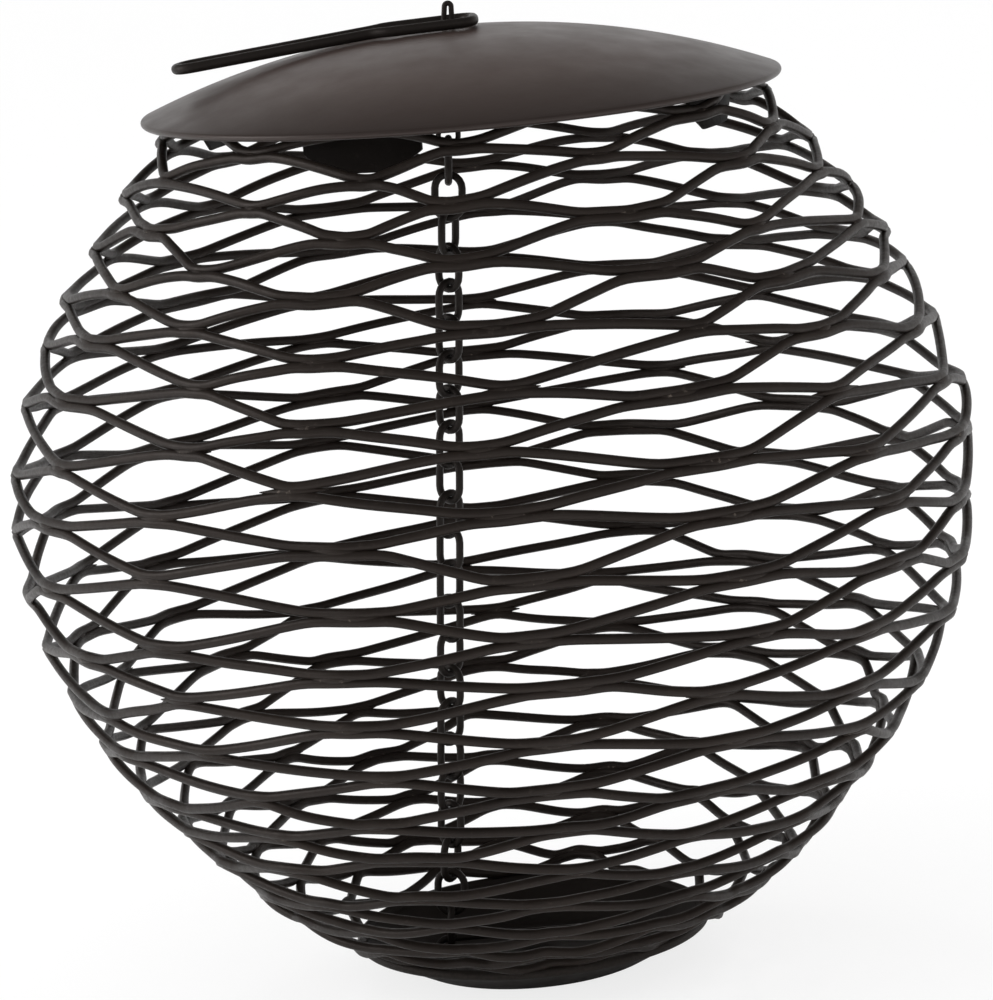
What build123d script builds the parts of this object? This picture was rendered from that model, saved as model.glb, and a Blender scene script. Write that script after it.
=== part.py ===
from build123d import *
import math
import os

# Ball of stacked wire rings
ball_diameter = 178.0
wire_diameter = 1.8
ring_count = 35
wave_count = 8
wire_side_count = 6
node_gap = 0.05
# azimuths count from -Y towards +X, latitudes from the ball's middle
first_column_azimuth = -40.0
# the upper rows sit turned a little about the axis, as the soft mesh settles
twist_angle = -5.0
twist_full_latitude = 15.0
twist_zero_latitude = -12.0
# between its middle row and its ends the mesh sags a little inside the round
mesh_sag = 2.9
upper_sag_latitude = 36.0
lower_sag_latitude = -42.0

# Hoop at the mouth
mouth_radius = 50.2
hoop_side_count = 32
hoop_gap = 0.22
hoop_stand_off = 1.0
lid_seat_gap = 0.1

# Lid
lid_overhang = 7.8
lid_height = 12.0
lid_sheet = 0.9
lid_curl_diameter = 1.3
lid_hole_diameter = 6.0

# Tabs under the lid
tab_count = 4
tab_first_azimuth = -22.0
tab_width = 22.0
tab_depth = 7.6
tab_corner_width = 5.0
tab_corner_height = 3.4
tab_sheet = 0.8
tab_hoop_clearance = 0.7
tab_seat_gap = 0.08

# Tray
tray_radius = 33.0
tray_height = 7.3
tray_floor_radius = 21.0
tray_corner_radius = 7.0
tray_sheet = 1.0
tray_curl_diameter = 2.0
tray_rim_stand_off = 1.65

# Hanger
hanger_wire = 1.9
hanger_inner_reach = 3.4
hanger_outer_reach = 50.7
hanger_eye_length = 16.8
hanger_eye_width = 10.4
hanger_handle_width = 6.9
hanger_step_length = 2.6
hanger_eye_corner_radius = 3.2
hanger_eye_slope = 2.0
hanger_handle_slope = 5.7
hanger_seat_gap = 0.32
hanger_side_count = 8
hanger_bend_steps = 3

# Centre eye, chain and base bridge
eye_wire = 1.0
eye_offset = -1.3
eye_top_rise = 5.0
eye_drop = 9.8
eye_width = 4.6
eye_tip_width = 2.2
eye_bow_steps = 4
chain_wire = 1.3
link_count = 23
link_width = 6.4
link_gap = 0.12
hook_gap = 0.22
chain_side_count = 6
link_bow_steps = 3
chain_foot_offset = -15.5
bridge_wire = 1.3
bridge_length = 37.5
bridge_height = 4.6
bridge_shoulder = 1.2

# one overrun serves all cuts
overrun = 1.0

# Values worked out from the sizes above
wire_sphere_radius = ball_diameter / 2 - wire_diameter / 2
tray_curl_radius = tray_curl_diameter / 2
tray_curl_ring = tray_radius - tray_curl_radius
tray_curl_height = tray_height - tray_curl_radius
# the ball's lowest ring nests on the tray's curled rim
rim_drop = math.sqrt((wire_sphere_radius + tray_rim_stand_off) ** 2 - tray_curl_ring**2)
ball_centre_height = tray_curl_height + rim_drop
# the hoop closes the ball's top and carries the lid's dome
hoop_rise = math.sqrt((wire_sphere_radius + hoop_stand_off) ** 2 - mouth_radius**2)
hoop_height = ball_centre_height + hoop_rise
lid_radius = mouth_radius + lid_overhang
lid_curl_radius = lid_curl_diameter / 2
lid_curl_ring = lid_radius - lid_curl_radius
dome_radius = (lid_curl_ring**2 + lid_height**2 - lid_curl_radius**2) / (2 * (lid_height - lid_curl_radius))
underside_radius = dome_radius - lid_sheet
hoop_reach = underside_radius - wire_diameter / 2 - lid_seat_gap
dome_centre = hoop_height - math.sqrt(hoop_reach**2 - mouth_radius**2)
lid_edge_height = dome_centre + dome_radius - lid_height


def round_place(radius, azimuth, height):
    """Point at a radius and azimuth from -Y towards +X."""
    turn = math.radians(azimuth)
    return Vector(radius * math.sin(turn), -radius * math.cos(turn), height)


def dome_top(distance):
    """Height of the lid's outer face at a distance from the axis."""
    return dome_centre + math.sqrt(dome_radius**2 - distance**2)


def wire_loop(points, diameter, side_count, outward):
    """Closed mitred wire of flat-sided section through the points."""
    start = (points[-1] + points[0]) * 0.5
    path = Polyline(start, *points, start)
    along = (points[0] - points[-1]).normalized()
    across = (outward - along * outward.dot(along)).normalized()
    plane = Plane(origin=start, x_dir=across, z_dir=along)
    section = plane * RegularPolygon(diameter / 2, side_count, major_radius=False)
    return sweep(section, path=path, transition=Transition.RIGHT)


def open_wire(points, diameter, side_count, outward):
    """Open mitred wire of flat-sided section through the points."""
    path = Polyline(*points)
    along = (points[1] - points[0]).normalized()
    across = (outward - along * outward.dot(along)).normalized()
    plane = Plane(origin=points[0], x_dir=across, z_dir=along)
    section = plane * RegularPolygon(diameter / 2, side_count, major_radius=False)
    return sweep(section, path=path, transition=Transition.RIGHT)


# Places of the rings, from the hoop down to the tray's curled rim
def own_latitude(radius, height):
    """Latitude of a round edge, seen from the ball's middle."""
    return math.degrees(math.atan2(height - ball_centre_height, radius))


def latitude_beside(radius, height, spacing, sign):
    """Latitude on the wire sphere that lies a spacing above or below a ring."""
    far = math.hypot(radius, height - ball_centre_height)
    share = (spacing**2 - (far - wire_sphere_radius) ** 2) / (4 * far * wire_sphere_radius)
    turn = math.degrees(2 * math.asin(math.sqrt(max(share, 0))))
    return own_latitude(radius, height) + sign * turn


def mesh_reach(latitude):
    """Distance of the mesh wire from the ball's middle, full at the middle row and at both ends."""
    if latitude > 0:
        deepest, end = upper_sag_latitude, own_latitude(mouth_radius, hoop_height)
    else:
        deepest, end = lower_sag_latitude, own_latitude(tray_curl_ring, tray_curl_height)
    share = min(latitude / deepest, (end - latitude) / (end - deepest))
    return wire_sphere_radius - mesh_sag * math.sin(math.pi / 2 * max(share, 0)) ** 2


def ring_rows(stretch):
    """Top ring's latitude, row pitch and wave height, all in degrees."""
    half_wire = wire_diameter / 2 * stretch
    top_spacing = half_wire + wire_diameter / 2 + hoop_gap
    rim_spacing = half_wire + tray_curl_radius + node_gap
    top = latitude_beside(mouth_radius, hoop_height, top_spacing, -1)
    bottom = latitude_beside(tray_curl_ring, tray_curl_height, rim_spacing, 1)
    touch = math.degrees((2 * half_wire + node_gap) / (wire_sphere_radius - mesh_sag))
    pitch = (top - bottom + touch) / ring_count
    wave = (pitch - touch) / 2
    return top - wave, pitch, wave


def mitre_stretch(rows):
    """How much taller the mitred wire is at the corners of the smallest ring."""
    run = 2 * tray_curl_ring * math.sin(math.pi / (2 * wave_count))
    rise = 2 * math.radians(rows[2]) * wire_sphere_radius
    return math.hypot(run, rise) / run


def twist_at(latitude):
    """Turn of a row about the axis."""
    share = (latitude - twist_zero_latitude) / (twist_full_latitude - twist_zero_latitude)
    share = min(max(share, 0), 1)
    return twist_angle * share**2 * (3 - 2 * share)


def ring_points(row, rows):
    """Corners of one zigzag ring, a trough first, on the wire sphere."""
    top_latitude, pitch, wave = rows
    middle = top_latitude - row * pitch
    column_pitch = 180 / wave_count
    points = []
    for corner in range(2 * wave_count):
        azimuth = first_column_azimuth + column_pitch * (row % 2 + corner) + twist_at(middle)
        latitude = middle + (wave if corner % 2 else -wave)
        reach = mesh_reach(latitude)
        radius = reach * math.cos(math.radians(latitude))
        height = ball_centre_height + reach * math.sin(math.radians(latitude))
        points.append(round_place(radius, azimuth, height))
    return points


def mesh_ring(row, rows):
    """Closed zigzag ring of the ball's mesh."""
    points = ring_points(row, rows)
    middle = (points[0] + points[-1]) * 0.5
    outward = middle - Vector(0, 0, ball_centre_height)
    return wire_loop(points, wire_diameter, wire_side_count, outward)


def mouth_hoop():
    """Plain hoop that the lid sits on."""
    step = 360 / hoop_side_count
    points = [round_place(mouth_radius, step * side, hoop_height) for side in range(hoop_side_count)]
    return wire_loop(points, wire_diameter, wire_side_count, Vector(0, 0, 1))


# Lid
def lid():
    """Pressed dome with a curled edge and a hole for the centre eye."""
    hole_radius = lid_hole_diameter / 2
    curl_middle = Vector(lid_curl_ring, lid_edge_height)
    outward = (curl_middle - Vector(0, dome_centre)).normalized()
    outer_end = Vector(0, dome_centre) + outward * dome_radius
    inner_end = Vector(0, dome_centre) + outward * underside_radius

    def dome_point(radius, distance):
        return Vector(distance, dome_centre + math.sqrt(radius**2 - distance**2))

    inner_start = dome_point(underside_radius, hole_radius)
    outer_start = dome_point(dome_radius, hole_radius)
    outer_middle = dome_point(dome_radius, (hole_radius + outer_end.X) / 2)
    inner_middle = dome_point(underside_radius, (hole_radius + inner_end.X) / 2)
    tail = curl_middle - outward * lid_curl_radius
    outside = curl_middle + Vector(outward.Y, -outward.X) * lid_curl_radius
    outline = [
        ThreePointArc(outer_start, outer_middle, outer_end),
        ThreePointArc(outer_end, outside, tail),
        Line(tail, inner_end),
        ThreePointArc(inner_end, inner_middle, inner_start),
        Line(inner_start, outer_start),
    ]
    profile = Plane.XZ * make_face(outline)
    return revolve(profile, axis=Axis.Z)


def lid_tab(number):
    """Bent strip under the lid, with slanted lower corners."""
    outer = mouth_radius - wire_diameter / 2 - tab_hoop_clearance
    inner = outer - tab_sheet
    top = dome_top(0)
    bottom = lid_edge_height - tab_depth
    half = tab_width / 2
    outline = Polyline(
        (-half, top),
        (-half, bottom + tab_corner_height),
        (-half + tab_corner_width, bottom),
        (half - tab_corner_width, bottom),
        (half, bottom + tab_corner_height),
        (half, top),
        close=True,
    )
    front = Plane.XZ * make_face(outline)
    blank = extrude(front, amount=outer + overrun)
    shell = Cylinder(outer, top, align=(Align.CENTER, Align.CENTER, Align.MIN))
    shell = shell - Cylinder(inner, top, align=(Align.CENTER, Align.CENTER, Align.MIN))
    dome = Pos(0, 0, dome_centre) * Sphere(underside_radius - tab_seat_gap)
    strip = shell & blank & dome
    return Rot(0, 0, tab_first_azimuth + 360 / tab_count * number) * strip


# Tray
def base_tray():
    """Pressed dish with a flat floor, a leaning wall and a curled rim."""
    middle = tray_sheet / 2
    path = FilletPolyline(
        (0, middle),
        (tray_floor_radius, middle),
        (tray_curl_ring, tray_curl_height),
        radius=tray_corner_radius,
    )
    sheet = trace(path, line_width=tray_sheet)
    profile = sheet + Pos(tray_curl_ring, tray_curl_height) * Circle(tray_curl_radius)
    return revolve(Plane.XZ * profile, axis=Axis.Z)


# Hanger
def hanger_height(along):
    """Height of the hanger's wire at a place along X, as it lies on the dome."""
    step = hanger_inner_reach - hanger_eye_length
    seat = dome_top(math.hypot(step, hanger_handle_width / 2)) + hanger_wire / 2 + hanger_seat_gap
    if along >= step:
        return seat + (along - step) * math.tan(math.radians(hanger_eye_slope))
    return seat - (step - along) * math.tan(math.radians(hanger_handle_slope))


def hanger():
    """Closed wire loop, a narrow handle and a wide inner eye."""
    eye_half = hanger_eye_width / 2
    handle_half = hanger_handle_width / 2
    step = hanger_inner_reach - hanger_eye_length
    corner = hanger_eye_corner_radius
    quarter = math.pi / 2
    half = []
    for bend in range(hanger_bend_steps + 1):
        turn = quarter * bend / hanger_bend_steps
        along = hanger_inner_reach - corner * (1 - math.cos(turn))
        half.append((along, eye_half - corner * (1 - math.sin(turn))))
    half.append((step + hanger_step_length / 2, eye_half))
    half.append((step - hanger_step_length / 2, handle_half))
    for bend in range(hanger_bend_steps + 1):
        turn = quarter * bend / hanger_bend_steps
        along = -hanger_outer_reach + handle_half * (1 - math.sin(turn))
        half.append((along, handle_half * math.cos(turn)))
    other = [(along, -across) for along, across in reversed(half[:-1])]
    points = [Vector(along, across, hanger_height(along)) for along, across in half + other]
    return wire_loop(points, hanger_wire, hanger_side_count, Vector(0, 0, 1))


# Centre eye
def hanging_line():
    """Slanted line of the eye and chain: its place at the lid's top, and its direction."""
    high = Vector(eye_offset, 0, dome_top(0))
    low = Vector(chain_foot_offset, 0, bridge_line())
    return high, (low - high).normalized(), (low - high).length


def eye_foot():
    """How far down the hanging line the eye's lower bow lies, on the wire's centreline."""
    return lid_height + eye_drop - eye_wire / 2


def centre_eye():
    """Pointed link through the lid's hole."""
    high, down, length = hanging_line()
    across = Vector(-down.Z, 0, down.X)
    low_half = (eye_width - eye_wire) / 2
    tip_half = (eye_tip_width - eye_wire) / 2
    tip = eye_wire / 2 - eye_top_rise
    points = []
    for bend in range(eye_bow_steps + 1):
        turn = math.pi * bend / eye_bow_steps
        drop = tip + tip_half * (1 - math.sin(turn))
        points.append(high + down * drop + across * (tip_half * math.cos(turn)))
    for bend in range(eye_bow_steps + 1):
        turn = math.pi * bend / eye_bow_steps
        drop = eye_foot() - low_half * (1 - math.sin(turn))
        points.append(high + down * drop - across * (low_half * math.cos(turn)))
    return wire_loop(points, eye_wire, chain_side_count, Vector(0, 1, 0))


# Chain
def chain_line():
    """Start, direction, link length and link spacing along the chain."""
    high_hold = (eye_wire + chain_wire) / 2 + hook_gap
    low_hold = (bridge_wire + chain_wire) / 2 + hook_gap
    high, down, length = hanging_line()
    start = high + down * (eye_foot() - high_hold)
    run = length - eye_foot() + high_hold + low_hold
    hook = chain_wire + link_gap
    length = (run + (link_count - 1) * hook) / link_count
    return start, down, length, length - hook


def chain_link(number):
    """Oval link, every other one turned a quarter turn."""
    start, down, length, spacing = chain_line()
    half = (link_width - chain_wire) / 2
    side = Vector(0, 1, 0)
    across = down.cross(side)
    if number % 2:
        side, across = across, side
    bow_share = math.cos(math.pi / 2 / link_bow_steps) if link_bow_steps % 2 else 1
    middle = start + down * (number * spacing + length / 2)
    centre = length / 2 - half * bow_share
    points = []
    for end in (1, -1):
        for bend in range(link_bow_steps + 1):
            turn = math.pi * bend / link_bow_steps
            out = end * half * math.cos(turn)
            reach = end * (centre + half * math.sin(turn))
            points.append(middle + side * out + down * reach)
    return wire_loop(points, chain_wire, chain_side_count, across)


# Base bridge
def bridge_line():
    """Height of the bridge's straight wire, on its centreline."""
    return tray_sheet + bridge_height - bridge_wire / 2


def base_bridge():
    """Low wire bow on the tray floor that the chain's foot hooks under."""
    half = bridge_length / 2 - bridge_wire / 2
    points = [
        Vector(-half, 0, tray_sheet),
        Vector(-half, 0, bridge_line() - bridge_shoulder),
        Vector(-half + bridge_shoulder, 0, bridge_line()),
        Vector(half - bridge_shoulder, 0, bridge_line()),
        Vector(half, 0, bridge_line() - bridge_shoulder),
        Vector(half, 0, tray_sheet),
    ]
    return open_wire(points, bridge_wire, chain_side_count, Vector(0, 1, 0))


def build():
    """All pieces by node name."""
    rows = ring_rows(mitre_stretch(ring_rows(1)))
    pieces = {}
    for row in range(ring_count):
        pieces[f"mesh_ring_{row + 1:02d}"] = mesh_ring(row, rows)
    pieces["mouth_hoop"] = mouth_hoop()
    pieces["lid"] = lid()
    for number in range(tab_count):
        pieces[f"lid_tab_{number + 1}"] = lid_tab(number)
    pieces["hanger"] = hanger()
    pieces["centre_eye"] = centre_eye()
    pieces["chain_links_side"] = Compound(children=[chain_link(k) for k in range(0, link_count, 2)])
    pieces["chain_links_front"] = Compound(children=[chain_link(k) for k in range(1, link_count, 2)])
    pieces["base_bridge"] = base_bridge()
    pieces["base_tray"] = base_tray()
    return pieces


os.makedirs("parts", exist_ok=True)
for node, shape in build().items():
    export_step(shape, f"parts/{node}.step")
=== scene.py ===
import math
import random

import bpy
from mathutils import Matrix, Vector


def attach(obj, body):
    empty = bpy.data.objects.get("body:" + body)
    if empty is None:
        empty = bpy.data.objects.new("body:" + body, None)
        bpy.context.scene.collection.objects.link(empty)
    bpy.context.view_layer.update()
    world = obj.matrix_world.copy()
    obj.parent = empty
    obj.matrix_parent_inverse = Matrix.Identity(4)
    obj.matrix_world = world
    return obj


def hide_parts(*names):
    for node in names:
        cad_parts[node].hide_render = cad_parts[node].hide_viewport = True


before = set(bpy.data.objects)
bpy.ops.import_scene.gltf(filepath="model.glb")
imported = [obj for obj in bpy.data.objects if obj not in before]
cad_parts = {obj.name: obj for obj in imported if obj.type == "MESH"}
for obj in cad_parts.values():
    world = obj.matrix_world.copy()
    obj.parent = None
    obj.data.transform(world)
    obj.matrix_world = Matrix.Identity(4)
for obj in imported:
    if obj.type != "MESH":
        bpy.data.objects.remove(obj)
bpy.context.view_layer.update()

MM = 0.001

# Sizes of the ball's wire mesh, in millimetres and degrees
BALL = 178.0
WIRE = 1.8
WIRE_SPHERE = (BALL - WIRE) / 2
RINGS = 35
WAVES = 8
NODE_GAP = 0.05
FIRST_COLUMN = -40.0
TWIST = -5.0
TWIST_FULL = 15.0
TWIST_ZERO = -12.0
SAG = 2.9
SAG_UPPER = 36.0
SAG_LOWER = -42.0

# Sizes of the tray, with its curl as a radius
TRAY_SHEET = 1.0
TRAY_RADIUS = 33.0
TRAY_HEIGHT = 7.3
TRAY_CURL = 1.0
TRAY_RING = TRAY_RADIUS - TRAY_CURL
TRAY_CURL_HEIGHT = TRAY_HEIGHT - TRAY_CURL
TRAY_FLOOR = 21.0
TRAY_CORNER = 7.0
TRAY_STAND_OFF = 1.65
BALL_MIDDLE = TRAY_CURL_HEIGHT + math.sqrt((WIRE_SPHERE + TRAY_STAND_OFF) ** 2 - TRAY_RING**2)

# Sizes of the hoop at the mouth
HOOP_RADIUS = 50.2
HOOP_GAP = 0.22
HOOP_STAND_OFF = 1.0
HOOP_HEIGHT = BALL_MIDDLE + math.sqrt((WIRE_SPHERE + HOOP_STAND_OFF) ** 2 - HOOP_RADIUS**2)

# Sizes of the lid, with its curl as a radius
LID_CURL = 0.65
LID_OVERHANG = 7.8
LID_RING = HOOP_RADIUS + LID_OVERHANG - LID_CURL
LID_SHEET = 0.9
LID_RISE = 12.0
LID_SEAT_GAP = 0.1
HOLE_RADIUS = 3.0
DOME_RADIUS = (LID_RING**2 + LID_RISE**2 - LID_CURL**2) / (2 * (LID_RISE - LID_CURL))
HOOP_REACH = DOME_RADIUS - LID_SHEET - WIRE / 2 - LID_SEAT_GAP
DOME_MIDDLE = HOOP_HEIGHT - math.sqrt(HOOP_REACH**2 - HOOP_RADIUS**2)
LID_TOP = DOME_MIDDLE + DOME_RADIUS
LID_EDGE = LID_TOP - LID_RISE

# Sizes of the hanger, whose inner part is wider than its handle
HANGER_WIRE = 1.9
INNER_REACH = 3.4
OUTER_REACH = 50.7
INNER_LENGTH = 16.8
HANGER_STEP = INNER_REACH - INNER_LENGTH
STEP_EASE = 2.4
INNER_WIDTH = 10.4
INNER_CORNER = 3.2
INNER_SLOPE = 2.0
HANDLE_WIDTH = 6.9
HANDLE_SLOPE = 5.7
HANGER_SEAT_GAP = 0.32

# Sizes of the bridge
BRIDGE_WIRE = 1.3
BRIDGE_LENGTH = 37.5
BRIDGE_HEIGHT = 4.6
BRIDGE_SHOULDER = 1.2
BRIDGE_HALF = (BRIDGE_LENGTH - BRIDGE_WIRE) / 2
BRIDGE_LINE = TRAY_SHEET + BRIDGE_HEIGHT - BRIDGE_WIRE / 2

# Sizes of the centre eye, whose tip and foot are measured from the lid's top along the chain's line
EYE_WIRE = 1.0
EYE_WIDTH = 4.6
EYE_TIP_WIDTH = 2.2
EYE_TOP_RISE = 5.0
EYE_DROP = 9.8
EYE_OFFSET = -1.3
CHAIN_FOOT_OFFSET = -15.5
EYE_TIP = EYE_WIRE / 2 - EYE_TOP_RISE
EYE_FOOT = LID_RISE + EYE_DROP - EYE_WIRE / 2
CHAIN_HIGH = Vector((EYE_OFFSET, 0, LID_TOP))
CHAIN_LOW = Vector((CHAIN_FOOT_OFFSET, 0, BRIDGE_LINE))
DOWN = (CHAIN_LOW - CHAIN_HIGH).normalized()

# Sizes of the chain, hooked through the eye above and under the bridge below
CHAIN_WIRE = 1.3
LINKS = 23
LINK_WIDTH = 6.4
LINK_GAP = 0.12
HOOK_GAP = 0.22
HIGH_HOLD = (EYE_WIRE + CHAIN_WIRE) / 2 + HOOK_GAP
LOW_HOLD = CHAIN_WIRE + HOOK_GAP
CHAIN_RUN = (CHAIN_LOW - CHAIN_HIGH).length - EYE_FOOT + HIGH_HOLD + LOW_HOLD
HOOK = CHAIN_WIRE + LINK_GAP
LINK_LENGTH = (CHAIN_RUN + (LINKS - 1) * HOOK) / LINKS


# Plain helpers
def place(radius, azimuth, height):
    """Point in metres at an azimuth from -Y towards +X."""
    turn = math.radians(azimuth)
    return Vector((radius * math.sin(turn), -radius * math.cos(turn), height)) * MM


def smooth_step(x):
    """Eases from 0 to 1 and stays there."""
    x = min(max(x, 0.0), 1.0)
    return x * x * (3 - 2 * x)


def blend_table(table, x):
    """Smooth value between the places of a small table."""
    for (x0, y0), (x1, y1) in zip(table, table[1:]):
        if x0 <= x <= x1:
            return y0 + (y1 - y0) * smooth_step((x - x0) / (x1 - x0))
    return table[0][1]


# Mesh makers
def add_mesh(name, verts, faces):
    """Smooth-shaded object of its own."""
    mesh = bpy.data.meshes.new(name)
    mesh.from_pydata([tuple(v) for v in verts], [], faces)
    mesh.validate()
    mesh.update()
    mesh.polygons.foreach_set("use_smooth", [True] * len(mesh.polygons))
    piece = bpy.data.objects.new(name, mesh)
    bpy.context.scene.collection.objects.link(piece)
    return piece


def tube_data(points, radius, sides=12, closed=True, swell=None):
    """Round wire along the points, its section carried without twist."""
    count = len(points)
    stretches = count if closed else count - 1
    tangents = []
    for k in range(count):
        if closed:
            step = points[(k + 1) % count] - points[k - 1]
        else:
            step = points[min(k + 1, count - 1)] - points[max(k - 1, 0)]
        tangents.append(step.normalized())
    side = tangents[0].orthogonal().normalized()
    sides_at = [side]
    for tangent in tangents[1:]:
        side = side - tangent * side.dot(tangent)
        side.normalize()
        sides_at.append(side.copy())
    twist = 0.0
    if closed:
        last = sides_at[-1] - tangents[0] * sides_at[-1].dot(tangents[0])
        last.normalize()
        up = tangents[0].cross(sides_at[0])
        twist = math.atan2(last.dot(up), last.dot(sides_at[0]))
    verts = []
    for k in range(count):
        across = sides_at[k]
        above = tangents[k].cross(across)
        back = -twist * k / count
        reach = radius * (swell(k / stretches) if swell else 1.0)
        for j in range(sides):
            angle = 2 * math.pi * j / sides + back
            verts.append(points[k] + (across * math.cos(angle) + above * math.sin(angle)) * reach)
    faces = []
    for k in range(stretches):
        here, there = k * sides, (k + 1) % count * sides
        for j in range(sides):
            beside = (j + 1) % sides
            faces.append((here + j, here + beside, there + beside, there + j))
    if not closed:
        faces.append(tuple(reversed(range(sides))))
        faces.append(tuple((count - 1) * sides + j for j in range(sides)))
    return verts, faces


def join_data(parts):
    """Points and faces of several parts in one list each."""
    verts, faces = [], []
    for part_verts, part_faces in parts:
        faces += [tuple(i + len(verts) for i in face) for face in part_faces]
        verts += part_verts
    return verts, faces


# a rounding takes at most this share of a side, so that two of them leave room
ROUNDING_SHARE = 0.48


def round_corners(corners, cut, steps):
    """Open path whose corners are rounded over a length to each side of them."""
    path = [corners[0]]
    for before, corner, after in zip(corners, corners[1:], corners[2:]):
        back, ahead = before - corner, after - corner
        start = corner + back.normalized() * min(cut, back.length * ROUNDING_SHARE)
        end = corner + ahead.normalized() * min(cut, ahead.length * ROUNDING_SHARE)
        for s in range(steps + 1):
            t = s / steps
            path.append(start * (1 - t) ** 2 + corner * (2 * t * (1 - t)) + end * t**2)
    return path + [corners[-1]]


def lathe(name, outline, segments):
    """Surface turned about Z from a closed outline of (radius, height) in metres."""
    verts, faces = [], []
    count = len(outline)
    for s in range(segments):
        turn = 2 * math.pi * s / segments
        for radius, height in outline:
            verts.append((radius * math.cos(turn), radius * math.sin(turn), height))
    for s in range(segments):
        here, there = s * count, (s + 1) % segments * count
        for j in range(count):
            beside = (j + 1) % count
            faces.append((here + j, there + j, there + beside, here + beside))
    return add_mesh(name, verts, faces)


# Material helpers
BLACK = (0, 0, 0)
WHITE = (1, 1, 1)
# most of a noise's values lie between these
NOISE_SPAN = (0.3, 0.7)


def material(name):
    """New material with its tree and its shader."""
    made = bpy.data.materials.new(name)
    made.use_nodes = True
    return made, made.node_tree, made.node_tree.nodes["Principled BSDF"]


def feed(tree, socket, value):
    """Links a socket to another one, or sets it to a plain value."""
    if isinstance(value, bpy.types.NodeSocket):
        tree.links.new(value, socket)
    else:
        socket.default_value = value


def noise(tree, scale, detail, roughness=0.55):
    """Noise in the piece's own space."""
    where = tree.nodes.new("ShaderNodeTexCoord")
    made = tree.nodes.new("ShaderNodeTexNoise")
    made.inputs["Scale"].default_value = scale
    made.inputs["Detail"].default_value = detail
    made.inputs["Roughness"].default_value = roughness
    tree.links.new(where.outputs["Object"], made.inputs["Vector"])
    return made.outputs["Fac"]


def ramp(tree, source, stops):
    """Colours by value, from (position, colour) stops."""
    made = tree.nodes.new("ShaderNodeValToRGB")
    elements = made.color_ramp.elements
    while len(elements) < len(stops):
        elements.new(0.5)
    for element, (position, colour) in zip(elements, stops):
        element.position = position
        element.color = (*colour, 1.0)
    tree.links.new(source, made.inputs["Fac"])
    return made.outputs["Color"]


def span(tree, source, given, wanted):
    """Carries values between the two given ones over to the two wanted ones."""
    made = tree.nodes.new("ShaderNodeMapRange")
    made.inputs["From Min"].default_value, made.inputs["From Max"].default_value = given
    made.inputs["To Min"].default_value, made.inputs["To Max"].default_value = wanted
    tree.links.new(source, made.inputs["Value"])
    return made.outputs["Result"]


def maths(tree, operation, *values):
    """Result of a sum on one or two values."""
    made = tree.nodes.new("ShaderNodeMath")
    made.operation = operation
    for socket, value in zip(made.inputs, values):
        feed(tree, socket, value)
    return made.outputs[0]


def mix(tree, factor, first, second, kind="MIX"):
    """Blend of two colours, which are sockets 6 and 7 of the node, with the result at output 2."""
    made = tree.nodes.new("ShaderNodeMix")
    made.data_type = "RGBA"
    made.blend_type = kind
    feed(tree, made.inputs["Factor"], factor)
    feed(tree, made.inputs[6], first)
    feed(tree, made.inputs[7], second)
    return made.outputs[2]


def grey(tree, source):
    """Colour with the same value in all three channels."""
    made = tree.nodes.new("ShaderNodeCombineColor")
    for key in ("Red", "Green", "Blue"):
        tree.links.new(source, made.inputs[key])
    return made.outputs["Color"]


def split_axes(tree, kind):
    """X, Y and Z of a texture coordinate."""
    where = tree.nodes.new("ShaderNodeTexCoord")
    made = tree.nodes.new("ShaderNodeSeparateXYZ")
    tree.links.new(where.outputs[kind], made.inputs["Vector"])
    return made.outputs


def bumped(tree, shader, layers):
    """Stacks bump layers of (height socket, strength, distance)."""
    normal = None
    for height, strength, distance in layers:
        made = tree.nodes.new("ShaderNodeBump")
        made.inputs["Strength"].default_value = strength
        made.inputs["Distance"].default_value = distance
        tree.links.new(height, made.inputs["Height"])
        if normal:
            tree.links.new(normal, made.inputs["Normal"])
        normal = made.outputs["Normal"]
    tree.links.new(normal, shader.inputs["Normal"])


# Coats, with roughness and the edge's places, in metres from the axis, as (low, high)
CLOUD_SHADE = (0.94, 1.05)
# painted shade begins at this share of the edge's inner place
PAINTED_SHADE_START = 0.7
RIM_WEAR_AND_SHADE_SHARE = 0.35


def coated_wire(name, dark, mid, speck_colour, rough, speck_share=0.22, gloss=0.24):
    """Dark brown coating on steel wire, thin and uneven, with specks of a lighter colour."""
    made, tree, shader = material(name)
    broad = noise(tree, scale=60.0, detail=5.0)
    fine = noise(tree, scale=900.0, detail=6.0, roughness=0.6)
    grain = noise(tree, scale=3200.0, detail=3.0, roughness=0.5)
    base = ramp(tree, broad, [(0.3, dark), (0.7, mid)])
    specks = ramp(tree, fine, [(0.60, BLACK), (0.72, WHITE)])
    specked = mix(tree, specks, base, (*speck_colour, 1))
    tree.links.new(mix(tree, speck_share, base, specked), shader.inputs["Base Color"])
    tree.links.new(span(tree, fine, NOISE_SPAN, rough), shader.inputs["Roughness"])
    shader.inputs["Specular IOR Level"].default_value = gloss
    shader.inputs["Specular Tint"].default_value = (1.0, 0.90, 0.86, 1.0)
    bumped(tree, shader, [(fine, 0.25, 0.0002), (grain, 0.12, 0.00005)])
    return made


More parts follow.
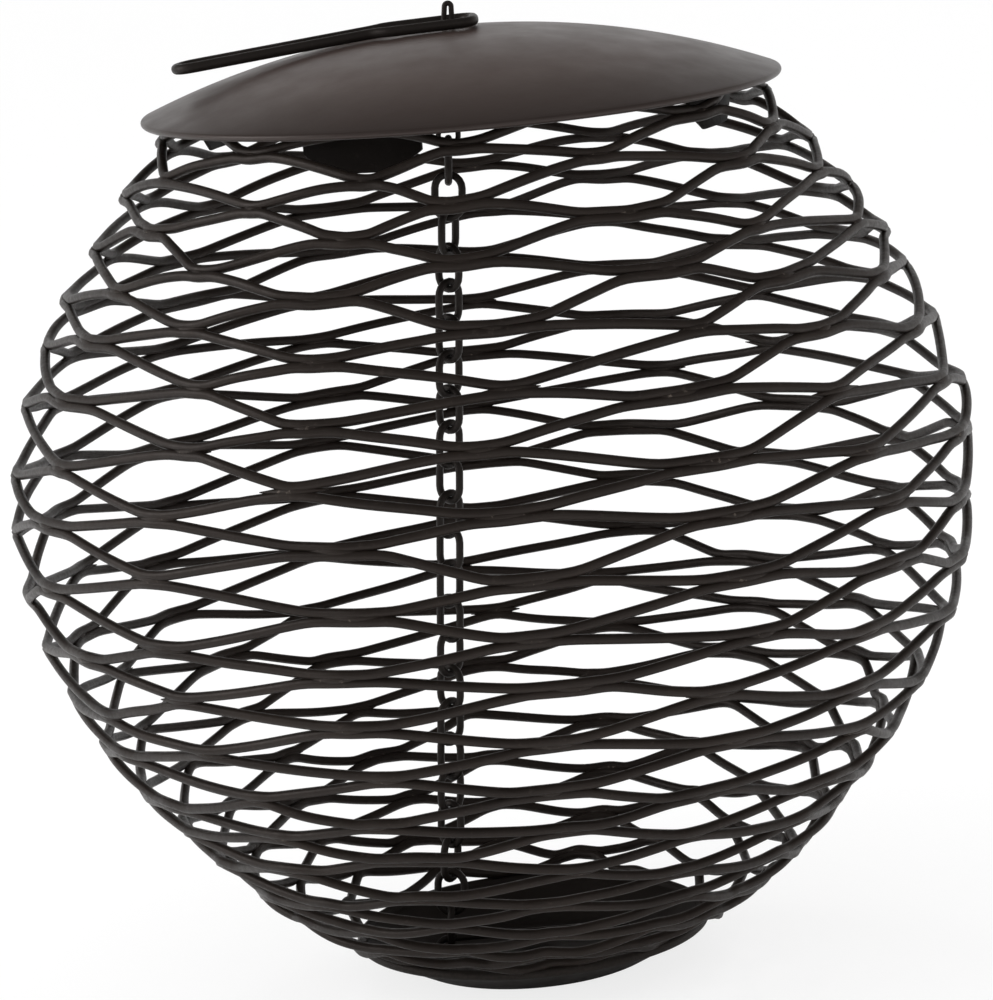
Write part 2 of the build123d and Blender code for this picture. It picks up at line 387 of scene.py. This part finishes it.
def coated_sheet(name, dark, mid, edge, edge_places, painted_edge_shade, rough, gloss):
    """Satin coating on pressed sheet, darkened towards its edge by painted shade, with flecks of the edge
    colour on its rim.
    """
    made, tree, shader = material(name)
    broad = noise(tree, scale=22.0, detail=6.0)
    cloud = noise(tree, scale=130.0, detail=5.0)
    fine = noise(tree, scale=1500.0, detail=5.0, roughness=0.6)
    grain = noise(tree, scale=5200.0, detail=2.0)
    base = ramp(tree, broad, [(0.3, dark), (0.72, mid)])
    clouds = grey(tree, span(tree, cloud, NOISE_SPAN, CLOUD_SHADE))
    clouded = mix(tree, 1.0, base, clouds, "MULTIPLY")
    axes = split_axes(tree, "Object")
    squares = [maths(tree, "MULTIPLY", axes[key], axes[key]) for key in ("X", "Y")]
    radius = maths(tree, "SQRT", maths(tree, "ADD", *squares))
    # painted shade: the sheet grows darker from here out to the edge, standing in for light that falls off
    # towards the rim
    painted_shade_places = (PAINTED_SHADE_START * edge_places[0], edge_places[0])
    painted_rim_shade = grey(tree, span(tree, radius, painted_shade_places, (1.0, painted_edge_shade)))
    with_painted_shade = mix(tree, 1.0, clouded, painted_rim_shade, "MULTIPLY")
    # flecks of the edge colour on the rim: chipped wear on the tray, painted shade from the curl on the lid
    rim = span(tree, radius, edge_places, (0.0, RIM_WEAR_AND_SHADE_SHARE))
    rim_flecks = ramp(tree, fine, [(0.42, BLACK), (0.62, WHITE)])
    rim_wear_and_shade = maths(tree, "MULTIPLY", rim, rim_flecks)
    tree.links.new(mix(tree, rim_wear_and_shade, with_painted_shade, (*edge, 1)), shader.inputs["Base Color"])
    tree.links.new(span(tree, cloud, NOISE_SPAN, rough), shader.inputs["Roughness"])
    shader.inputs["Specular IOR Level"].default_value = gloss
    shader.inputs["Specular Tint"].default_value = (1.0, 0.90, 0.87, 1.0)
    bumped(tree, shader, [(broad, 0.12, 0.0012), (fine, 0.10, 0.0001), (grain, 0.08, 0.00003)])
    return made


mesh_wire = coated_wire(
    "mesh_wire_coat",
    dark=(0.0085, 0.0062, 0.0050),
    mid=(0.0155, 0.0115, 0.0092),
    speck_colour=(0.06, 0.048, 0.04),
    rough=(0.36, 0.54),
)
# the welds carry many pale specks
weld_coat = coated_wire(
    "weld_coat",
    dark=(0.0095, 0.0070, 0.0056),
    mid=(0.017, 0.0127, 0.0102),
    speck_colour=(0.15, 0.125, 0.105),
    rough=(0.42, 0.6),
    speck_share=0.6,
)
dark_wire = coated_wire(
    "dark_wire_coat",
    dark=(0.0070, 0.0058, 0.0050),
    mid=(0.0125, 0.0102, 0.0088),
    speck_colour=(0.05, 0.042, 0.037),
    rough=(0.38, 0.52),
)
tab_coat = coated_wire(
    "tab_coat",
    dark=(0.0050, 0.0041, 0.0036),
    mid=(0.0085, 0.0070, 0.0060),
    speck_colour=(0.03, 0.025, 0.022),
    rough=(0.50, 0.62),
    gloss=0.08,
)
lid_coat = coated_sheet(
    "lid_coat",
    dark=(0.0405, 0.0277, 0.0240),
    mid=(0.0505, 0.0355, 0.0310),
    # painted shade: an edge colour darker than the lid, for the shade on its curl
    edge=(0.02, 0.016, 0.014),
    edge_places=(0.0565, 0.0577),
    # painted shade: half as bright at the rim
    painted_edge_shade=0.5,
    rough=(0.36, 0.46),
    gloss=0.4,
)
tray_coat = coated_sheet(
    "tray_coat",
    dark=(0.0075, 0.0060, 0.0050),
    mid=(0.0125, 0.0100, 0.0084),
    edge=(0.03, 0.025, 0.021),
    edge_places=(0.0320, 0.0331),
    painted_edge_shade=1.0,
    rough=(0.46, 0.6),
    gloss=0.2,
)


def dress(piece, body, nodes, coat):
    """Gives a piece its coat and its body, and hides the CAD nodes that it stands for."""
    piece.data.materials.clear()
    piece.data.materials.append(coat)
    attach(piece, body)
    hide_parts(*nodes)


def dress_wire(name, data, body, node):
    """Piece of dark wire from its points and faces."""
    dress(add_mesh(name, *data), body, [node], dark_wire)


# Latitudes of the mesh's rows
def own_latitude(radius, height):
    """Latitude of a round edge, seen from the ball's middle."""
    return math.degrees(math.atan2(height - BALL_MIDDLE, radius))


def latitude_beside(radius, height, spacing, sign):
    """Latitude on the wire sphere that lies a spacing above or below a round edge."""
    far = math.hypot(radius, height - BALL_MIDDLE)
    share = (spacing**2 - (far - WIRE_SPHERE) ** 2) / (4 * far * WIRE_SPHERE)
    return own_latitude(radius, height) + sign * math.degrees(2 * math.asin(math.sqrt(share)))


def ring_rows(stretch):
    """First row's latitude, the rows' pitch and half a wave's height, for corners of stretched wire."""
    half_wire = WIRE / 2 * stretch
    top = latitude_beside(HOOP_RADIUS, HOOP_HEIGHT, half_wire + WIRE / 2 + HOOP_GAP, -1)
    bottom = latitude_beside(TRAY_RING, TRAY_CURL_HEIGHT, half_wire + TRAY_CURL + NODE_GAP, 1)
    touch = math.degrees((2 * half_wire + NODE_GAP) / (WIRE_SPHERE - SAG))
    pitch = (top - bottom + touch) / RINGS
    wave = (pitch - touch) / 2
    return top - wave, pitch, wave


def corner_stretch(wave):
    """How much taller the wire stands at the corners of the steepest zigzag."""
    run = 2 * TRAY_RING * math.sin(math.pi / (2 * WAVES))
    return math.hypot(run, 2 * math.radians(wave) * WIRE_SPHERE) / run


TOP_LATITUDE, ROW_PITCH, ROW_WAVE = ring_rows(corner_stretch(ring_rows(1)[2]))
HOOP_LATITUDE = own_latitude(HOOP_RADIUS, HOOP_HEIGHT)
TRAY_LATITUDE = own_latitude(TRAY_RING, TRAY_CURL_HEIGHT)

# Unevenness of the mesh
rng = random.Random(7)
crossings = {}
# azimuth and sideways shift of the upper crossings, in degrees
SKEW = [
    (-180, 0), (-112.5, 2), (-67.5, 4), (-45, 4), (-22.5, 2.5), (0, -1),
    (22.5, 2), (45, 2.5), (67.5, 3), (112.5, 2), (180, 0),
]
# random shifts of a crossing: sideways and up in degrees, outward in millimetres
SIDE_SHIFT = 3.9
LIFT_SHIFT = 0.52
OUT_SHIFT = (-0.25, 0.05)
# share of a leg that runs level beside its neighbour, at each of its ends
REST_SHARE = (0.04, 0.30)
# slow swells of the rows: height in degrees, waves round the ball, lead from row to row and start
SWELLS = [(0.55, 2, 0.31, 0.8), (0.35, 3, -0.22, 0.0)]
# the end rows are calmer, because the hoop and the tray hold them
CALM_ROWS = 3
CALM_SIDE = 0.3
# the middle rows hang a little lower than the even spacing
SETTLE = 1.4
SETTLE_ROWS = 7
# two wires that cross lie at this share of their even distance, and a little inward
NEST = 0.74
INSET = 0.05
# a leg bows outward and sways up and down, in millimetres
BOW = (0.3, 1.3)
SWAY = 0.2
LEG_STEPS = 24
SMOOTHINGS = 2
# the coat swells and thins along each ring
COAT_SWELL = 0.018
COAT_SWELLS = 9
# weld beads: half their length and their radius in millimetres, and how steeply they lean
WELD_LENGTH = (3.8, 7.0)
WELD_RADIUS = (0.80, 0.90)
WELD_LEAN = 0.08
WELD_STEPS = 5
WELD_TIP = 0.12
WELD_TAPER = 1.2
# the wires turn inward by this share to both sides of a crossing, with a small round at its middle
WELD_BEND = 0.13
WELD_ROUND = 1.5 * MM


def mesh_reach(latitude):
    """Distance of the mesh from the ball's middle, sagging between its middle row and its ends."""
    deepest, end = (SAG_UPPER, HOOP_LATITUDE) if latitude > 0 else (SAG_LOWER, TRAY_LATITUDE)
    share = min(latitude / deepest, (end - latitude) / (end - deepest))
    return WIRE_SPHERE - SAG * math.sin(math.pi / 2 * max(share, 0)) ** 2


def mesh_place(azimuth, latitude, out):
    """Point of the mesh in metres, moved outward by some millimetres."""
    reach = mesh_reach(latitude) - INSET + out
    angle = math.radians(latitude)
    return place(reach * math.cos(angle), azimuth, BALL_MIDDLE + reach * math.sin(angle))


def crossing(level, column):
    """Azimuth, latitude, outward shift and rest share of a place where two rings meet."""
    key = (level, column % (2 * WAVES))
    if key not in crossings:
        crossings[key] = (
            rng.uniform(-SIDE_SHIFT, SIDE_SHIFT),
            rng.uniform(-LIFT_SHIFT, LIFT_SHIFT),
            rng.uniform(*OUT_SHIFT),
            rng.uniform(*REST_SHARE),
        )
    side, lift, out, rest = crossings[key]
    latitude = TOP_LATITUDE - (level - 0.5) * ROW_PITCH
    rise = smooth_step((latitude - TWIST_ZERO) / (TWIST_FULL - TWIST_ZERO))
    azimuth = FIRST_COLUMN + 180 / WAVES * column + TWIST * rise
    azimuth = (azimuth + 180) % 360 - 180
    azimuth += blend_table(SKEW, azimuth) * rise
    for height, waves, lead, start in SWELLS:
        lift += height * math.sin(waves * math.radians(azimuth) + lead * level + start)
    calm = min(level / CALM_ROWS, (RINGS - level) / CALM_ROWS, 1.0)
    settle = SETTLE * smooth_step(level / SETTLE_ROWS) * smooth_step((RINGS - level) / SETTLE_ROWS)
    azimuth += side * (CALM_SIDE + (1 - CALM_SIDE) * calm)
    return azimuth, latitude + lift * calm - settle, out * calm, rest


def ring_corners(row):
    """Corners of one ring; each lies on a crossing with a neighbour."""
    corners, rests = [], []
    half = (ROW_PITCH / 2 - ROW_WAVE) * NEST
    for corner in range(2 * WAVES):
        level, drop = (row, half) if corner % 2 else (row + 1, -half)
        azimuth, latitude, out, rest = crossing(level, row % 2 + corner)
        corners.append(mesh_place(azimuth, latitude - drop, out))
        rests.append(rest)
    return corners, rests


def ring_path(row):
    """Corners joined by legs that run level beside the neighbour first, then cross over."""
    corners, rests = ring_corners(row)
    middle = Vector((0, 0, BALL_MIDDLE * MM))
    path = []
    for k, start in enumerate(corners):
        following = (k + 1) % len(corners)
        end = corners[following]
        first, last = rests[k], rests[following]
        bow = rng.uniform(*BOW)
        sway = rng.uniform(-SWAY, SWAY)
        outward = ((start + end) / 2 - middle).normalized()
        widening = math.hypot(end.x, end.y) / math.hypot(start.x, start.y) - 1
        for s in range(LEG_STEPS):
            t = s / LEG_STEPS
            bulge = math.sin(math.pi * t)
            ease = min(max((t - first) / (1 - first - last), 0.0), 1.0)
            point = start.lerp(end, t)
            # a leg that climbs over the round of the ball also leans with it
            point.x *= 1 + (ease - t) * widening
            point.y *= 1 + (ease - t) * widening
            point.z = start.z + (end.z - start.z) * ease + sway * math.sin(2 * math.pi * t) * bulge * MM
            path.append(point + outward * (bow * bulge * MM))
    for _ in range(SMOOTHINGS):
        total = len(path)
        path = [(path[i - 1] + path[i] * 2 + path[(i + 1) % total]) / 4 for i in range(total)]
    return path


def weld_path(level, column):
    """Short line along the ring, bent as its wires are, where two rings are joined."""
    azimuth, latitude, out, _ = crossing(level, column)
    middle = mesh_place(azimuth, latitude, out)
    along = Vector((-middle.y, middle.x, 0)).normalized()
    inward = -Vector((middle.x, middle.y, 0)).normalized()
    length = rng.uniform(*WELD_LENGTH) * math.hypot(middle.x, middle.y) / WIRE_SPHERE
    along.z = rng.uniform(-WELD_LEAN, WELD_LEAN)
    points = []
    for step in range(-WELD_STEPS, WELD_STEPS + 1):
        reach = length * step / WELD_STEPS
        bend = WELD_BEND * (math.hypot(reach, WELD_ROUND) - WELD_ROUND)
        points.append(middle + along * reach + inward * bend)
    return points


def weld_swell(t):
    """Fullest at its middle, thin at both ends."""
    return WELD_TIP + (1 - WELD_TIP) * math.sin(math.pi * t) ** WELD_TAPER


def weld_bead(level, column):
    """Spindle of weld metal between two wires."""
    path = weld_path(level, column)
    return tube_data(path, rng.uniform(*WELD_RADIUS) * MM, sides=8, closed=False, swell=weld_swell)


def mesh_ring(row):
    """One zigzag ring with the welds that join it to the ring above."""
    phase = rng.uniform(0, 2 * math.pi)

    def coat_swell(t):
        return 1.0 + COAT_SWELL * math.sin(2 * math.pi * COAT_SWELLS * t + phase)

    wire = tube_data(ring_path(row), WIRE / 2 * MM, sides=10, swell=coat_swell)
    columns = range((row + 1) % 2, 2 * WAVES, 2) if row else ()
    beads = [weld_bead(row, column) for column in columns]
    piece = add_mesh(f"wire_ring_{row + 1:02d}", *join_data([wire, *beads]))
    dress(piece, "ball", [f"mesh_ring_{row + 1:02d}"], mesh_wire)
    piece.data.materials.append(weld_coat)
    for face in piece.data.polygons[len(wire[1]):]:
        face.material_index = 1


for row in range(RINGS):
    mesh_ring(row)

# Hoop at the mouth, which sways a little up and down
HOOP_STEPS = 128
HOOP_SWAY = 0.06
HOOP_SWAYS = 5


def hoop_path():
    """Nearly level ring under the lid."""
    points = []
    for k in range(HOOP_STEPS):
        turn = 2 * math.pi * k / HOOP_STEPS
        height = HOOP_HEIGHT + HOOP_SWAY * math.sin(HOOP_SWAYS * turn)
        points.append(place(HOOP_RADIUS, math.degrees(turn), height))
    return points


dress_wire("wire_hoop", tube_data(hoop_path(), WIRE / 2 * MM), "ball", "mouth_hoop")

# Lid
LID_SEGMENTS = 256
DOME_STEPS = 60
LID_CURL_STEPS = 14
# the hole's upper edge is eased from here outward, and over these (width, depth) down to its wall
HOLE_EASE = 0.25
HOLE_EDGE = [(0.0, 0.22), (0.07, 0.06)]
TAB_EDGE = 0.18
TAB_MERGE = 0.02


def dome_height(distance):
    """Height of the lid's upper face at a distance from the axis."""
    return DOME_MIDDLE + math.sqrt(DOME_RADIUS**2 - distance**2)


def lid_outline():
    """Upper face, curled edge, underside and the hole's wall."""
    lean = Vector((LID_RING, LID_EDGE - DOME_MIDDLE)).normalized()
    outline = []
    start, end = HOLE_RADIUS + HOLE_EASE, lean.x * DOME_RADIUS
    for k in range(DOME_STEPS + 1):
        distance = start + (end - start) * k / DOME_STEPS
        outline.append((distance, dome_height(distance)))
    for k in range(1, LID_CURL_STEPS + 1):
        angle = math.atan2(lean.y, lean.x) - math.pi * k / LID_CURL_STEPS
        outline.append((LID_RING + LID_CURL * math.cos(angle), LID_EDGE + LID_CURL * math.sin(angle)))
    underside = DOME_RADIUS - LID_SHEET
    inner_end, inner_steps = lean.x * underside, DOME_STEPS // 2
    for k in range(inner_steps + 1):
        distance = inner_end + (HOLE_RADIUS - inner_end) * k / inner_steps
        outline.append((distance, DOME_MIDDLE + math.sqrt(underside**2 - distance**2)))
    hole_top = dome_height(HOLE_RADIUS)
    outline += [(HOLE_RADIUS + width, hole_top - depth) for width, depth in HOLE_EDGE]
    return [(radius * MM, height * MM) for radius, height in outline]


dress(lathe("lid_dome", lid_outline(), LID_SEGMENTS), "lid", ["lid"], lid_coat)


def lid_tab(number):
    """Bent strip with slanted lower corners and softened edges."""
    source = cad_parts[f"lid_tab_{number}"]
    piece = bpy.data.objects.new(f"tab_{number}", source.data.copy())
    bpy.context.scene.collection.objects.link(piece)
    merge = piece.modifiers.new("weld", "WELD")
    merge.merge_threshold = TAB_MERGE * MM
    bevel = piece.modifiers.new("edge", "BEVEL")
    bevel.width = TAB_EDGE * MM
    bevel.segments = 2
    bevel.limit_method = "ANGLE"
    bevel.angle_limit = math.radians(35)
    dress(piece, "lid", [f"lid_tab_{number}"], tab_coat)


for number in range(1, 5):
    lid_tab(number)

# Hanger
HANGER_STEPS = 8


def hanger_height(along):
    """Height of the wire's middle line, which rests on the lid at the step."""
    seat = dome_height(math.hypot(HANGER_STEP, HANDLE_WIDTH / 2)) + HANGER_WIRE / 2 + HANGER_SEAT_GAP
    slope = INNER_SLOPE if along >= HANGER_STEP else HANDLE_SLOPE
    return seat + (along - HANGER_STEP) * math.tan(math.radians(slope))


def hanger_path():
    """Closed loop of a wide inner part and a narrow handle, one half worked out and mirrored."""
    inner, handle = INNER_WIDTH / 2, HANDLE_WIDTH / 2
    corner_end = INNER_REACH - INNER_CORNER
    step_start, step_end = HANGER_STEP + STEP_EASE, HANGER_STEP - STEP_EASE
    handle_end = handle - OUTER_REACH
    shares = [k / HANGER_STEPS for k in range(HANGER_STEPS + 1)]
    half = [(INNER_REACH, 0.0)]
    for t in shares:
        turn = math.pi / 2 * t
        half.append((corner_end + INNER_CORNER * math.cos(turn), inner - INNER_CORNER * (1 - math.sin(turn))))
    half.append(((corner_end + step_start) / 2, inner))
    for t in shares:
        half.append((step_start + (step_end - step_start) * t, inner + (handle - inner) * smooth_step(t)))
    for t in shares[1:-1]:
        half.append((step_end + (handle_end - step_end) * t, handle))
    for t in shares:
        turn = math.pi / 2 * t
        half.append((handle_end - handle * math.sin(turn), handle * math.cos(turn)))
    other = [(a, -b) for a, b in reversed(half[1:-1])]
    return [Vector((a, b, hanger_height(a))) * MM for a, b in half + other]


dress_wire("hanger_wire", tube_data(hanger_path(), HANGER_WIRE / 2 * MM, sides=16), "hanger", "hanger")

# Centre eye
EYE_BEND_STEPS = 12
EYE_LEG_STEPS = 8


def eye_path():
    """Narrow loop with a pointed top and a wider foot."""
    low, tip = (EYE_WIDTH - EYE_WIRE) / 2, (EYE_TIP_WIDTH - EYE_WIRE) / 2
    foot_line, tip_line = EYE_FOOT - low, EYE_TIP + tip
    across = Vector((-DOWN.z, 0, DOWN.x))
    places = []
    # over the tip and down one leg, then round the foot and up the other
    for sign, radius, line, other_radius, other_line in (
        (1, tip, tip_line, low, foot_line),
        (-1, low, foot_line, tip, tip_line),
    ):
        for k in range(EYE_BEND_STEPS + 1):
            turn = math.pi * k / EYE_BEND_STEPS
            places.append((sign * radius * math.cos(turn), line - sign * radius * math.sin(turn)))
        for k in range(1, EYE_LEG_STEPS):
            t = k / EYE_LEG_STEPS
            places.append((-sign * (radius + (other_radius - radius) * t), line + (other_line - line) * t))
    return [(CHAIN_HIGH + DOWN * drop + across * wide) * MM for wide, drop in places]


dress_wire("eye_wire", tube_data(eye_path(), EYE_WIRE / 2 * MM), "ball", "centre_eye")

# Chain, whose coat makes the links a touch fuller, so that they just meet
LINK_COAT = 0.05
LINK_RADIUS = CHAIN_WIRE / 2 + LINK_COAT
LINK_BEND_STEPS = 10
LINK_LEG_STEPS = 4
# held square at both ends, the chain hangs half turned between them: degrees per link, over this many
LINK_TWIST = 15
TWIST_LINKS = 3


def link_path(number):
    """Oval link; every second one is turned by a quarter."""
    half = (LINK_WIDTH - CHAIN_WIRE) / 2
    straight = LINK_LENGTH / 2 - half
    middle = CHAIN_HIGH + DOWN * (EYE_FOOT - HIGH_HOLD + number * (LINK_LENGTH - HOOK) + LINK_LENGTH / 2)
    side = Vector((0, 1, 0))
    if number % 2:
        side = DOWN.cross(side)
    twist = LINK_TWIST * min(number, LINKS - 1 - number, TWIST_LINKS)
    side = Matrix.Rotation(math.radians(twist), 3, DOWN) @ side
    points = []
    for end in (1, -1):
        for k in range(LINK_BEND_STEPS + 1):
            turn = math.pi * k / LINK_BEND_STEPS
            reach = straight + half * math.sin(turn)
            points.append(middle + side * (end * half * math.cos(turn)) + DOWN * (end * reach))
        for k in range(1, LINK_LEG_STEPS):
            reach = straight * (1 - 2 * k / LINK_LEG_STEPS)
            points.append(middle - side * (end * half) + DOWN * (end * reach))
    return [point * MM for point in points]


for first, facing in enumerate(("side", "front")):
    links = [tube_data(link_path(k), LINK_RADIUS * MM, sides=10) for k in range(first, LINKS, 2)]
    dress_wire(f"links_{facing}", join_data(links), "ball", f"chain_links_{facing}")

# Base bridge
BRIDGE_CUT = 0.9
BRIDGE_BEND_STEPS = 6


def bridge_path():
    """Low bow that rises from the tray's floor and comes back to it."""
    top, shoulder = BRIDGE_LINE, BRIDGE_SHOULDER
    right = [(BRIDGE_HALF - shoulder, top), (BRIDGE_HALF, top - shoulder), (BRIDGE_HALF, TRAY_SHEET)]
    left = [(-x, z) for x, z in reversed(right)]
    corners = [Vector((x, 0, z)) * MM for x, z in left + right]
    return round_corners(corners, BRIDGE_CUT * MM, BRIDGE_BEND_STEPS)


dress_wire("bridge_wire", tube_data(bridge_path(), BRIDGE_WIRE / 2 * MM, closed=False), "ball", "base_bridge")

# Tray
TRAY_SEGMENTS = 192
FLOOR_PLACES = (1e-4, 8.0, 16.0)
TRAY_BEND_STEPS = 12
TRAY_WALL_STEPS = 5
TRAY_CURL_STEPS = 14
# the wall ends at this share of its way to the curl's middle
TRAY_WALL_SHARE = 0.9
# the curl goes round by this angle to both sides of the wall's direction, in radians
TRAY_CURL_TURN = 2.7


def tray_line():
    """Middle line of the sheet over floor, bend and wall, with the wall's direction."""
    corner = Vector((TRAY_FLOOR, TRAY_SHEET / 2))
    curl = Vector((TRAY_RING, TRAY_CURL_HEIGHT))
    inward = Vector((-1, 0))
    wall = (curl - corner).normalized()
    opening = inward.angle(wall)
    centre = corner + inward * (TRAY_CORNER / math.tan(opening / 2)) + Vector((0, TRAY_CORNER))
    line = [Vector((radius, TRAY_SHEET / 2)) for radius in FLOOR_PLACES]
    for k in range(TRAY_BEND_STEPS + 1):
        turn = -math.pi / 2 + (math.pi - opening) * k / TRAY_BEND_STEPS
        line.append(centre + Vector((math.cos(turn), math.sin(turn))) * TRAY_CORNER)
    bend_end = line[-1]
    for k in range(1, TRAY_WALL_STEPS + 1):
        line.append(bend_end.lerp(curl, k / TRAY_WALL_STEPS * TRAY_WALL_SHARE))
    return line, wall


def tray_outline():
    """Sheet of even thickness with a curled rim."""
    line, wall = tray_line()
    lower, upper = [], []
    for k, point in enumerate(line):
        along = (line[min(k + 1, len(line) - 1)] - line[max(k - 1, 0)]).normalized()
        across = Vector((along.y, -along.x)) * TRAY_SHEET / 2
        lower.append(point + across)
        upper.append(point - across)
    curl = Vector((TRAY_RING, TRAY_CURL_HEIGHT))
    rim = []
    for k in range(TRAY_CURL_STEPS + 1):
        turn = math.atan2(wall.y, wall.x) + TRAY_CURL_TURN * (2 * k / TRAY_CURL_STEPS - 1)
        rim.append(curl + Vector((math.cos(turn), math.sin(turn))) * TRAY_CURL)
    outline = lower + rim + upper[::-1]
    return [(max(point.x, FLOOR_PLACES[0]) * MM, max(point.y, 0.0) * MM) for point in outline]


dress(lathe("tray_dish", tray_outline(), TRAY_SEGMENTS), "ball", ["base_tray"], tray_coat)

# Floor and backdrop in one smooth sweep, in metres
FLOOR_FRONT = -1.2
FLOOR_BACK = 0.9
SWEEP_RADIUS = 0.8
SWEEP_STEPS = 12
WALL_TOP = 1.0
PAPER_HALF_WIDTH = 3.5
PAPER_DROP = 0.0002
# seen by the camera, the paper is nearly white and keeps part of the shadow
PAPER_GLOW = 0.8


def backdrop_paper():
    """Pale paper, faintly uneven."""
    made, tree, shader = material("backdrop_paper")
    shade = noise(tree, scale=3.0, detail=3.0)
    paper = ramp(tree, shade, [(0.3, (0.90, 0.90, 0.90)), (0.7, (0.93, 0.93, 0.93))])
    tree.links.new(paper, shader.inputs["Base Color"])
    shader.inputs["Roughness"].default_value = 0.9
    shader.inputs["Specular IOR Level"].default_value = 0.0
    glow = tree.nodes.new("ShaderNodeEmission")
    rays = tree.nodes.new("ShaderNodeLightPath")
    blend = tree.nodes.new("ShaderNodeMixShader")
    share = maths(tree, "MULTIPLY", rays.outputs["Is Camera Ray"], PAPER_GLOW)
    tree.links.new(share, blend.inputs["Fac"])
    tree.links.new(shader.outputs[0], blend.inputs[1])
    tree.links.new(glow.outputs[0], blend.inputs[2])
    tree.links.new(blend.outputs[0], tree.nodes["Material Output"].inputs["Surface"])
    return made


def backdrop():
    """Floor that bends up into a wall behind the feeder."""
    line = [(FLOOR_FRONT, 0.0), (FLOOR_BACK, 0.0)]
    for k in range(1, SWEEP_STEPS + 1):
        turn = math.pi / 2 * k / SWEEP_STEPS
        line.append((FLOOR_BACK + SWEEP_RADIUS * math.sin(turn), SWEEP_RADIUS * (1 - math.cos(turn))))
    line.append((FLOOR_BACK + SWEEP_RADIUS, WALL_TOP))
    verts = [(x, y, z - PAPER_DROP) for x in (-PAPER_HALF_WIDTH, PAPER_HALF_WIDTH) for y, z in line]
    count = len(line)
    faces = [(k, k + 1, count + k + 1, count + k) for k in range(count - 1)]
    piece = add_mesh("backdrop", verts, faces)
    piece.data.materials.append(backdrop_paper())


backdrop()

# Mirrored surroundings: pale near the horizon, dim overhead and dark at the front
MIRRORED_HEIGHTS = [
    (0.0, (0.84, 0.775, 0.74)),
    (0.28, (0.71, 0.65, 0.62)),
    (0.54, (0.30, 0.273, 0.26)),
    (0.80, (0.09, 0.084, 0.081)),
]
FRONT_TO_BACK = (-0.9, 0.3)
FRONT_TO_BACK_SHADE = (0.22, 1.0)


def studio_world():
    """White surroundings that show darker only in what the pieces mirror."""
    world = bpy.data.worlds.new("studio")
    bpy.context.scene.world = world
    world.use_nodes = True
    tree = world.node_tree
    background = tree.nodes["Background"]
    background.inputs["Strength"].default_value = 1.0
    rays = tree.nodes.new("ShaderNodeLightPath")
    axes = split_axes(tree, "Generated")
    height = ramp(tree, axes["Z"], MIRRORED_HEIGHTS)
    facing_back = grey(tree, span(tree, axes["Y"], FRONT_TO_BACK, FRONT_TO_BACK_SHADE))
    mirrored = mix(tree, 1.0, height, facing_back, "MULTIPLY")
    tint = mix(tree, rays.outputs["Is Glossy Ray"], (1.0, 1.0, 1.0, 1.0), mirrored)
    tree.links.new(tint, background.inputs["Color"])


studio_world()


def softbox(name, location, target, size, power, mirrored=True):
    """Rectangular lamp that faces its target; one that isn't mirrored makes no highlight."""
    data = bpy.data.lights.new(name, "AREA")
    data.shape = "RECTANGLE"
    data.size, data.size_y = size
    data.energy = power
    lamp = bpy.data.objects.new(name, data)
    bpy.context.scene.collection.objects.link(lamp)
    lamp.location = location
    lamp.rotation_mode = "QUATERNION"
    lamp.rotation_quaternion = (Vector(target) - Vector(location)).to_track_quat("-Z", "Y")
    lamp.visible_glossy = mirrored


softbox("key_left", location=(-0.95, -0.15, 0.50), target=(0, 0, 0.1), size=(0.5, 0.6), power=4.0)
softbox("fill_front", location=(0.35, -1.1, 0.6), target=(0, 0, 0.09), size=(0.5, 0.4), power=1.1)
softbox(
    "top_back",
    location=(-0.20, 0.75, 0.70),
    target=(0, 0, 0.15),
    size=(0.3, 0.2),
    power=2.0,
    mirrored=False,
)

# Camera: degrees, metres, and pixels of the photo
ELEVATION = 10.8
ROLL = -5.0
DISTANCE = 0.845
PHOTO_WIDTH = 993
PHOTO_HEIGHT = 1000
FOCAL_PIXELS = 4601.0
BALL_PIXEL = (495.0, 485.0)
SENSOR_WIDTH = 36.0


def photo_camera():
    """Camera that sees the ball's middle at its pixel in the photo."""
    data = bpy.data.cameras.new("camera")
    data.type = "PERSP"
    data.sensor_fit = "AUTO"
    data.sensor_width = SENSOR_WIDTH
    data.lens = FOCAL_PIXELS / max(PHOTO_WIDTH, PHOTO_HEIGHT) * SENSOR_WIDTH
    data.clip_start = 0.05
    data.clip_end = 20.0
    camera = bpy.data.objects.new("camera", data)
    bpy.context.scene.collection.objects.link(camera)
    bpy.context.scene.camera = camera
    rise = math.radians(ELEVATION)
    back = Vector((0, -math.cos(rise), math.sin(rise)))
    upright = (-back).to_track_quat("-Z", "Y").to_matrix()
    facing = upright @ Matrix.Rotation(math.radians(ROLL), 3, "Z")
    pixel = DISTANCE / FOCAL_PIXELS
    right_off = (PHOTO_WIDTH / 2 - BALL_PIXEL[0]) * pixel
    down_off = (BALL_PIXEL[1] - PHOTO_HEIGHT / 2) * pixel
    aim = Vector((0, 0, BALL_MIDDLE * MM))
    camera.location = aim + back * DISTANCE + facing @ Vector((right_off, down_off, 0))
    camera.rotation_mode = "QUATERNION"
    camera.rotation_quaternion = facing.to_quaternion()


photo_camera()

scene = bpy.context.scene
scene.view_settings.view_transform = "Standard"
